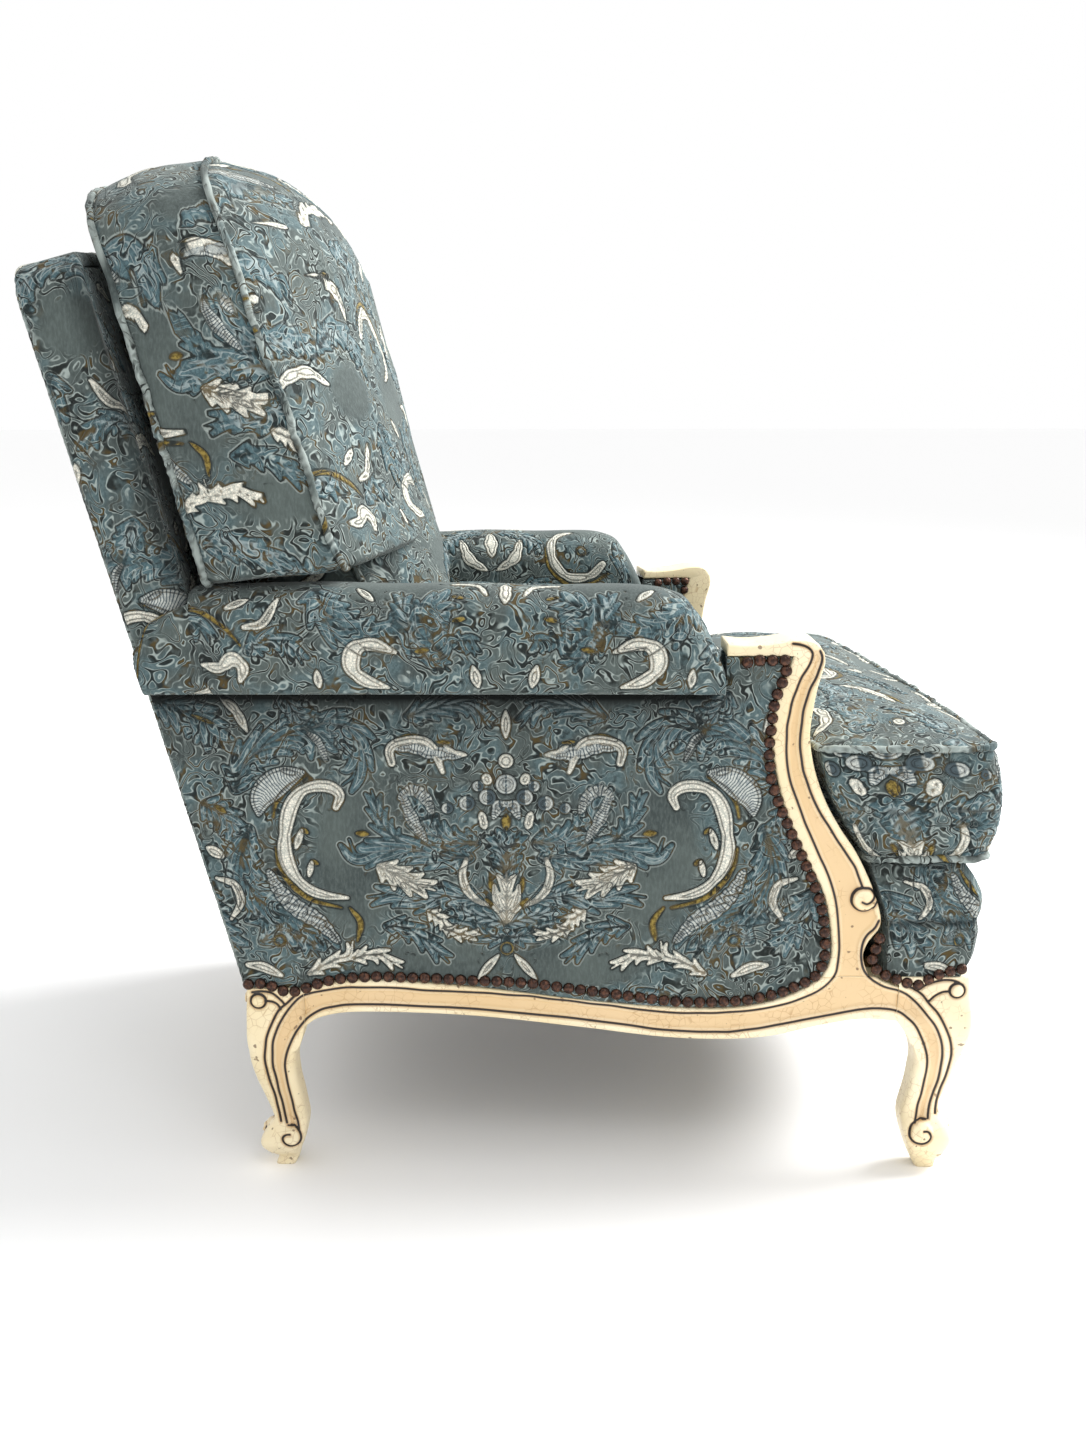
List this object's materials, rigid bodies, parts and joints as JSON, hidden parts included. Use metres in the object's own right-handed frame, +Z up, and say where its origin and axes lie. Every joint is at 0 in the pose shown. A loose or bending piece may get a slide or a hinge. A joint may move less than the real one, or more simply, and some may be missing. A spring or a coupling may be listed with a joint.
{
  "type": "bergere chair",
  "caption": "Upholstered armchair with carved and painted show-wood frame, roll arms, nailed damask, and loose boxed seat and back cushions.",
  "frame": {"origin": "on the floor, in the middle of the chair's width and depth", "axes": "+Z up, the chair's front faces -Y, +X is the sitter's left"},
  "size_m": [0.7576, 0.952, 1.0396],
  "materials": {
    "painted_wood": "ivory crackle paint, satin",
    "timber": "bare beech",
    "damask": "cut-velvet damask, matt with a soft sheen",
    "webbing": "jute webbing",
    "hessian": "hessian",
    "lining": "black cambric",
    "spring_steel": "bare steel wire",
    "nail_brass": "antiqued upholstery nails"
  },
  "bodies": {
    "chair_frame": {"front_leg_right": "painted_wood", "rear_leg_right": "painted_wood", "side_rail_right": "painted_wood", "arm_post_right": "painted_wood", "arm_rail_right": "timber", "tacking_rail_right": "timber", "back_stile_right": "timber", "front_corner_block_right": "timber", "rear_corner_block_right": "timber", "outer_arm_panel_right": "damask", "inner_arm_panel_right": "damask", "arm_roll_right": "damask", "front_leg_left": "painted_wood", "rear_leg_left": "painted_wood", "side_rail_left": "painted_wood", "arm_post_left": "painted_wood", "front_rail": "painted_wood", "rear_rail": "painted_wood", "arm_rail_left": "timber", "tacking_rail_left": "timber", "back_stile_left": "timber", "back_top_rail": "timber", "back_lower_rail": "timber", "front_corner_block_left": "timber", "rear_corner_block_left": "timber", "dust_cover": "lining", "seat_webbing": "webbing", "back_webbing": "webbing", "seat_spring_1": "spring_steel", "seat_spring_2": "spring_steel", "seat_spring_3": "spring_steel", "seat_spring_4": "spring_steel", "seat_spring_5": "spring_steel", "seat_spring_6": "spring_steel", "seat_spring_7": "spring_steel", "seat_spring_8": "spring_steel", "seat_spring_9": "spring_steel", "seat_hessian": "hessian", "seat_deck": "damask", "seat_front_roll": "damask", "outer_arm_panel_left": "damask", "inner_arm_panel_left": "damask", "arm_roll_left": "damask", "outer_back_panel": "damask", "back_border": "damask", "back_pad": "damask"},
    "seat_cushion": {"seat_cushion": "damask"},
    "back_cushion": {"back_cushion": "damask"}
  },
  "joints": [
    {"name": "seat_cushion_slide", "type": "slide", "parent": "chair_frame", "child": "seat_cushion", "axis": [0, -1, 0], "range_m": [0, 0.7]},
    {"name": "back_cushion_lift", "type": "slide", "parent": "chair_frame", "child": "back_cushion", "axis": [0, 0.2622, 0.965], "range_m": [0, 0.6]}
  ]
}
